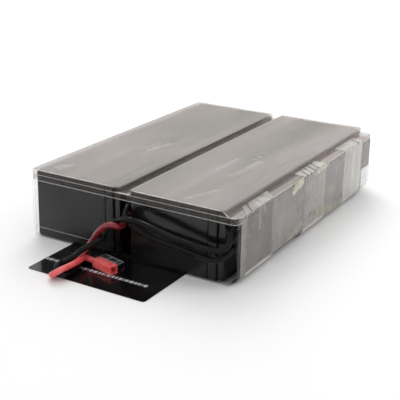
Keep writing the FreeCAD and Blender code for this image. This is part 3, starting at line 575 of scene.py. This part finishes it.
def flat_bar(centre, along, across, long, wide, lift):
    """Flat bar with rounded ends, lift above the ground.

    With u from -1 to 1 over its length, half its width is wide / 2 times the root of
    1 - |u| to the 8th."""
    u = np.linspace(-1, 1, 9)[:, None]
    v = np.linspace(-1, 1, 3)[None, :]
    reach = u * long / 2
    half = wide / 2 * np.sqrt(np.clip(1 - np.abs(u) ** 8, 0.02, 1)) * v
    spot = np.array([*centre, lift])
    along, across = np.array([*along, 0.0]), np.array([*across, 0.0])
    return spot + reach[..., None] * along + half[..., None] * across


def print_row(start, end, tall, widths, gap, lift):
    """Row of plain bars that stand across the line from start to end.

    They take the widths in turn, gap apart, as many as fit."""
    start, end = np.array(start, float), np.array(end, float)
    length = np.linalg.norm(end - start)
    along = (end - start) / length
    across = np.array([-along[1], along[0]])
    bars, at = [], 0.0
    for wide in itertools.cycle(widths):
        if at + wide > length:
            return bars
        bars.append(flat_bar(start + along * (at + wide / 2), across, -along, tall, wide, lift))
        at += wide + gap


def sheet_print():
    """Plain white bars along the pull sheet's front."""
    widths, gap, tall = (2.2, 3.2, 1.2, 2.6, 4.2, 2.2, 2.2, 1.0, 3.4, 2.6), 1.3, 4.6
    bars = print_row((-63.0, -190.5), (47.5, -190.5), tall, widths, gap, SHEET_SKIN)
    surface("sheet_print", bars, print_white)


# Faint rows of print on the blocks, each from its start to its end (x, y), with its height.
SMUDGES = {
    "tinted": [((-99.0, -136.0), (-83.0, -116.0), 5.0), ((-95.0, -137.0), (-79.0, -117.0), 3.5),
               ((-90.0, -138.0), (-80.0, -126.0), 3.0), ((36.0, -60.0), (36.0, -16.0), 4.0)],
    "pale": [((-101.0, -100.0), (-100.0, -80.0), 5.0), ((-102.0, -36.0), (-95.5, 10.0), 6.0),
             ((-52.0, -44.0), (-44.0, -2.0), 7.5), ((-60.0, -40.0), (-54.0, -8.0), 2.5),
             ((50.0, -148.0), (67.0, -100.0), 5.0), ((57.0, -68.0), (59.0, -14.0), 8.0),
             ((52.0, -12.0), (50.0, 22.0), 6.0)],
}


def block_prints():
    """Faded plain bars on the label panels, which are sunk into the blocks' upper sides."""
    widths, gap, sunk = (5.0, 2.0, 7.0, 3.0, 4.0, 9.0), 1.2, 0.37
    lift = BLOCK_FLOOR + BLOCK_WIDE - sunk
    for kind, finish in (("tinted", print_tinted), ("pale", print_faded)):
        rows = []
        for start, end, tall in SMUDGES[kind]:
            rows += print_row(start, end, tall, widths, gap, lift)
        surface("block_print_" + kind, rows, finish)


def lid_seams():
    """Weld line and lid step of each block: flat ribbons over its ends and its upper side.

    Each follows three sides of the block, round both upper corners, a little proud of it."""
    ribbons = []
    wide, proud, corner, cut_in, cut_down = 1.1, 0.06, 1.8, 0.53, 0.5
    low, high = BLOCK_FLOOR + 0.6, BLOCK_FLOOR + BLOCK_WIDE
    end = BLOCK_HALF_LONG + proud
    half_path = [(end, low), (end, high - corner), (end - cut_in, high - cut_down),
                 (end - corner, high + proud)]
    for base in BLOCK_BASES:
        for middle in BLOCK_MIDDLES:
            for rise in (78.9, 87.6):
                path = np.array([(middle - y, z) for y, z in half_path]
                                + [(middle + y, z) for y, z in half_path[::-1]])
                grid = np.empty((len(path), 2, 3))
                grid[:, :, 0] = base + rise + np.array([-wide / 2, wide / 2])
                grid[:, :, 1] = path[:, None, 0]
                grid[:, :, 2] = path[:, None, 1]
                ribbons.append(grid[:, ::-1])
    surface("lid_seams", ribbons, seam_black)


def fold_ridge(start, lean, drop, high, wide, wave=0.0):
    """Raised fold of tape that runs out over the ledge and down the side.

    Its crest goes from start along the ledge, moved back by lean on the way and swung by three
    half waves; it turns over the edge and goes down by drop. Across the crest the height falls
    off as a bell, and along it as the root of a half sine, so it fades at both ends."""
    steps, lanes = 30, 7
    s = np.linspace(0, 1, steps)[:, None]
    v = np.linspace(-1, 1, lanes)[None, :]
    ledge_long, clear, half_turn = 12.5, 0.03, 0.6
    gone = s * (ledge_long + drop)
    on_top = gone < ledge_long
    height = high * np.exp(-(2.2 * v) ** 2) * np.sin(np.pi * np.clip(s, 0.02, 0.98)) ** 0.5
    turn = np.clip((gone - ledge_long + half_turn) / (2 * half_turn), 0, 1) * np.pi / 2
    x = np.where(on_top, TAPE_SKIN - ledge_long + gone, TAPE_SKIN)
    z = np.where(on_top, TAPE_TOP, TAPE_TOP - (gone - ledge_long))
    y = start + lean * np.clip(gone / ledge_long, 0, 1) + wave * np.sin(3 * np.pi * s) + v * wide
    grid = np.empty((steps, lanes, 3))
    grid[..., 0] = x + (height + clear) * np.sin(turn)
    grid[..., 1] = y
    grid[..., 2] = z + (height + clear) * np.cos(turn)
    return grid


def tape_folds():
    """Folds at the edges and in the middle of the packing tapes, paler as a painted highlight,
    and dark strips laid on as painted shadows of the folds.
    """
    front = [fold_ridge(-121.5, -15.5, 3.0, 0.50, 0.9), fold_ridge(-77.5, -11.5, 2.0, 0.35, 0.7),
             fold_ridge(-104.0, -9.0, 22.0, 0.25, 0.8, 0.8),
             fold_ridge(-94.0, -12.0, 9.0, 0.25, 0.7, 0.5)]
    middle = [fold_ridge(-13.0 + 5.6 * n, -6.0 + 0.8 * n, 14.0 + 3.0 * math.sin(2.1 * n),
                         0.45, 0.75, 0.4) for n in range(6)]
    rear = [fold_ridge(84.0 + 11.0 * n, -7.0 + 2.0 * n, 5.0 + 2.0 * n, 0.25, 0.8, 0.5)
            for n in range(4)]
    surface("tape_folds", front + middle + rear, fold_highlight_paint)
    # Dark strips over the tape: painted shadows of the folds.
    crease_shadows = [fold_ridge(-6.0 + 8.0 * n, -10.0 + 0.6 * n, 2.0, 0.22, 1.3, 0.3) for n in range(4)]
    crease_shadows += [fold_ridge(-115.0, -14.0, 1.0, 0.2, 1.0, 0.4),
                fold_ridge(121.0, -9.0, 2.0, 0.2, 1.2, 0.4)]
    surface("painted_crease_shadows", crease_shadows, fold_shadow_paint)


def scrap(corners, seed, lift=0.05, rag=0.06):
    """Torn scrap stuck to the side, given by four corners (y, z).

    It is the even blend between the corners. Towards the rim, with the cube of the distance
    from the middle, each point is shifted along and up by sums of three short sines, which
    tears the edge; seed shifts the sines. The middle stands up a little."""
    corners = np.array(corners, float)
    long_steps, tall_steps, swell = 26, 10, 0.12
    u = np.linspace(0, 1, long_steps)[:, None]
    v = np.linspace(0, 1, tall_steps)[None, :]
    spread = ((1 - u) * (1 - v))[..., None] * corners[0] + (u * (1 - v))[..., None] * corners[1]
    spread = spread + (u * v)[..., None] * corners[2] + ((1 - u) * v)[..., None] * corners[3]
    rim = np.maximum(np.abs(2 * u - 1), np.abs(2 * v - 1)) ** 3
    span = np.ptp(corners, axis=0)
    tear_y = np.sin(19 * v + seed) + 0.6 * np.sin(31 * v + 2 * seed) + 0.4 * np.sin(9 * u)
    tear_z = np.sin(23 * u + 3 * seed) + 0.6 * np.sin(41 * u + seed) + 0.4 * np.sin(7 * v)
    grid = np.empty((long_steps, tall_steps, 3))
    grid[..., 0] = TAPE_SKIN + lift + swell * (1 - rim) * (1 + 0.5 * np.sin(9 * u + seed))
    grid[..., 1] = spread[..., 0] + rag * span[0] * rim * tear_y
    grid[..., 2] = spread[..., 1] + rag * span[1] * rim * tear_z
    return grid


def paper_scraps():
    """Cream scraps of old backing paper that stuck to the side, two bright and three thin."""
    bright = [scrap([(-50, 50.5), (-26, 55), (-25, 61.5), (-43, 61.5)], 0.4, rag=0.09),
              scrap([(1, 56.5), (31, 57.5), (33, 61.3), (4, 61.6)], 1.9, rag=0.10)]
    dull = [scrap([(-53, 9), (-24, 12), (-22, 20), (-45, 18)], 2.7),
            scrap([(-9, 16), (70, 5), (78, 10), (-4, 24)], 4.1),
            scrap([(34, 26), (52, 22), (50, 33), (38, 36)], 5.2)]
    surface("paper_scraps_bright", bright, paper_cream)
    surface("paper_scraps_dull", dull, paper_dull)


def painted_corner_sheens():
    """Painted sheen: pale patches at the rear right corner, low on the side and over the ledge.

    The patch on the ledge has wavy edges by short sines and swells by a half sine both ways."""
    long_steps, wide_steps = 12, 8
    u = np.linspace(0, 1, long_steps)[:, None]
    v = np.linspace(0, 1, wide_steps)[None, :]
    ledge = np.empty((long_steps, wide_steps, 3))
    ledge[..., 0] = 97.5 + 11.0 * v + 0.4 * np.sin(8 * u)
    ledge[..., 1] = 138.5 + 12.0 * u + 0.8 * np.sin(7 * v)
    ledge[..., 2] = LEDGE_TOP + 0.25 + 0.5 * np.sin(np.pi * u) * np.sin(np.pi * v)
    low = scrap([(128, 7.5), (151.5, 9), (151.5, 30), (128, 30)], 1.1, lift=-0.15, rag=0.01)
    surface("painted_corner_sheens", [ledge[:, ::-1], low], corner_sheen_paint)


def bead(path, wide):
    """Thin round bead along a path: a ring of eight points at each step.

    Its width is the root of six times a half sine along the path, never over the full width, so
    it narrows at both ends. The ring's first side is square to the path and to a slanting
    direction that no path here follows."""
    slant = [0.31, 0.17, 0.94]
    along = np.gradient(path, axis=0)
    along /= np.linalg.norm(along, axis=1)[:, None]
    side = np.cross(along, slant)
    side /= np.linalg.norm(side, axis=1)[:, None]
    over = np.cross(along, side)
    turn = np.linspace(0, 2 * np.pi, 9)[None, :, None]
    swell = np.sin(np.pi * np.linspace(0, 1, len(path))) * 6
    taper = np.sqrt(np.clip(swell, 0.04, 1)) * wide / 2
    ring = side[:, None, :] * np.cos(turn) + over[:, None, :] * np.sin(turn)
    return path[:, None, :] + ring * taper[:, None, None]


def rim_path(reach_x, reach_y, z, round_left, round_right):
    """Path at height z along the front and the right side of the pack, from left to rear.

    It runs through both rounded front corners: a quarter circle each, between straights."""
    quarter = np.linspace(0, np.pi / 2, 9)
    inward, forward = 1 - np.sin(quarter), 1 - np.cos(quarter)
    left = np.stack([-reach_x + round_left * inward, -reach_y + round_left * forward], 1)
    right = np.stack([reach_x - round_right * inward, -reach_y + round_right * forward], 1)
    across = np.linspace(-reach_x + round_left, reach_x - round_right, 40)[1:-1]
    front = np.stack([across, np.full(len(across), -reach_y)], 1)
    back = np.linspace(-reach_y + round_right, reach_y - round_right, 41)[1:]
    side = np.stack([np.full(len(back), reach_x), back], 1)
    flat = np.vstack([left[::-1], front, right, side])
    return np.column_stack([flat, np.full(len(flat), z)])


def straight(start, end):
    """Straight path of 30 points."""
    return np.linspace(np.array(start, float), np.array(end, float), 30)


def painted_edge_glints():
    """Painted highlights: pale beads along the rounded edges of the clear shells, on the crowns,
    groove, slope, ledge, skirt foot, tray step and tray corner.
    """
    crowns = [bead(straight((-107.3, -153.35, 66.5), (-13.4, -153.35, 66.5)), 0.95),
              bead(straight((4.2, -153.35, 66.5), (94.5, -153.35, 66.5)), 1.15),
              bead(straight((-108.6, -152.0, 66.6), (-108.6, 152.0, 66.6)), 0.4),
              bead(straight((2.4, -151.0, 66.6), (2.4, 152.0, 66.6)), 0.35)]
    groove = bead(straight((-11.6, -153.1, 62.0), (1.9, -153.1, 62.0)), 1.3)
    slope = bead(straight((94.8, -153.0, 66.3), (101.5, -153.3, 61.9)), 0.7)
    ledge = bead(rim_path(108.75, 153.35, 61.65, 2.3, 6.5), 0.45)
    front_and_corner = 60
    skirt_foot = bead(rim_path(109.0, 153.6, 56.3, 2.3, 6.5)[:front_and_corner], 0.5)
    tray_step = bead(straight((-107.5, -153.3, 9.7), (-30.0, -153.3, 9.7)), 0.3)
    tray_corner = bead(straight((-108.55, -153.1, 11.0), (-108.55, -153.1, 56.0)), 0.35)
    surface("painted_edge_glints", [*crowns, groove, slope, ledge, skirt_foot, tray_step, tray_corner],
            painted_edge_glint)


# The plug pair: where the red shell's axis starts, in mm, how the axes are turned, in degrees,
# how far apart the two axes are, and how high a shell's top is above its axis.
PLUG_SPOT = (-16.0, -180.3, 4.45)
PLUG_TURN = -14.0
PLUG_PITCH = 8.0
PLUG_TOP = 3.93
RED_ROW, BLACK_ROW = 0, 1


def shell_point(row, forward, side, lift):
    """Point of a plug shell given along, across and above its axis, in mm."""
    turn = math.radians(PLUG_TURN)
    pitch = PLUG_PITCH * row
    x = PLUG_SPOT[0] - pitch * math.sin(turn) + forward * math.cos(turn) - side * math.sin(turn)
    y = PLUG_SPOT[1] + pitch * math.cos(turn) + forward * math.sin(turn) + side * math.cos(turn)
    return np.stack([x, y, np.broadcast_to(PLUG_SPOT[2] + lift, x.shape)], axis=-1)


def painted_plug_edge_glints():
    """Painted highlights: pale beads round the top of the black shell, and across its middle at
    its steps.
    """
    corners = [(0.4, -3.6), (24.2, -3.6), (24.2, 3.6), (0.4, 3.6), (0.4, -3.6)]
    steps, lift = 12, PLUG_TOP + 0.05
    lines = [shell_point(BLACK_ROW, np.linspace(a[0], b[0], steps),
                         np.linspace(a[1], b[1], steps), lift)
             for a, b in zip(corners, corners[1:])]
    lines += [shell_point(BLACK_ROW, np.full(steps, at), np.linspace(-3.4, 3.4, steps), lift)
              for at in (9.5, 19.5)]
    surface("painted_plug_edge_glints", [bead(line, 0.6) for line in lines], plug_glint_grey)


def crest(row, start, long, half_wide, tall):
    """Rounded cross rib on top of a plug shell, from start on, half_wide to each side.

    Its height is tall times 1 - u to the 6th, times 1 - v to the 6th, with u and v from -1 to
    1 along and across: a flat-topped swell both ways."""
    u, v = np.meshgrid(np.linspace(-1, 1, 13), np.linspace(-1, 1, 13), indexing="ij")
    swell = (1 - u ** 6) * (1 - v ** 6)
    return shell_point(row, start + long / 2 * (1 + u), half_wide * v, PLUG_TOP + tall * swell)


def plug_ribs():
    """Grip ribs on the plug shells' upper sides."""
    for colour, row, finish in (("red", RED_ROW, red_shell), ("black", BLACK_ROW, black_shell)):
        ribs = [crest(row, 0.3, 4.4, 3.3, 0.55), crest(row, 6.0, 2.0, 2.6, 0.5),
                crest(row, 12.2, 5.4, 2.6, 0.45)]
        surface(colour + "_grip_ribs", ribs, finish)


# ---------------------------------------------------------------- the scene

place_camera()
white_world()
studio_floor()
make_leads()
dress_nodes()
sheet_print()
block_prints()
lid_seams()
tape_folds()
paper_scraps()
painted_corner_sheens()
painted_edge_glints()
plug_ribs()
painted_plug_edge_glints()

# Each lamp's place, aim and width are in metres, and its power is in watts.
soft_lamp("window_back", (-0.9, 1.3, 1.3), (0, 0, 0.03), 1.4, 24)
soft_lamp("overhead", (0.0, 0.3, 2.2), (0, 0.02, 0.0), 2.4, 13)
soft_lamp("fill_right", (1.3, 0.9, 0.7), (0.1, 0.1, 0.03), 1.0, 5.5)
soft_lamp("small_top", (-0.45, 0.35, 1.5), (0, -0.1, 0.03), 0.2, 4, gloss_only=True)
soft_lamp("fill_front", (-0.5, -1.6, 1.1), (0, -0.1, 0.03), 1.2, 4)

bpy.context.scene.view_settings.view_transform = "Standard"
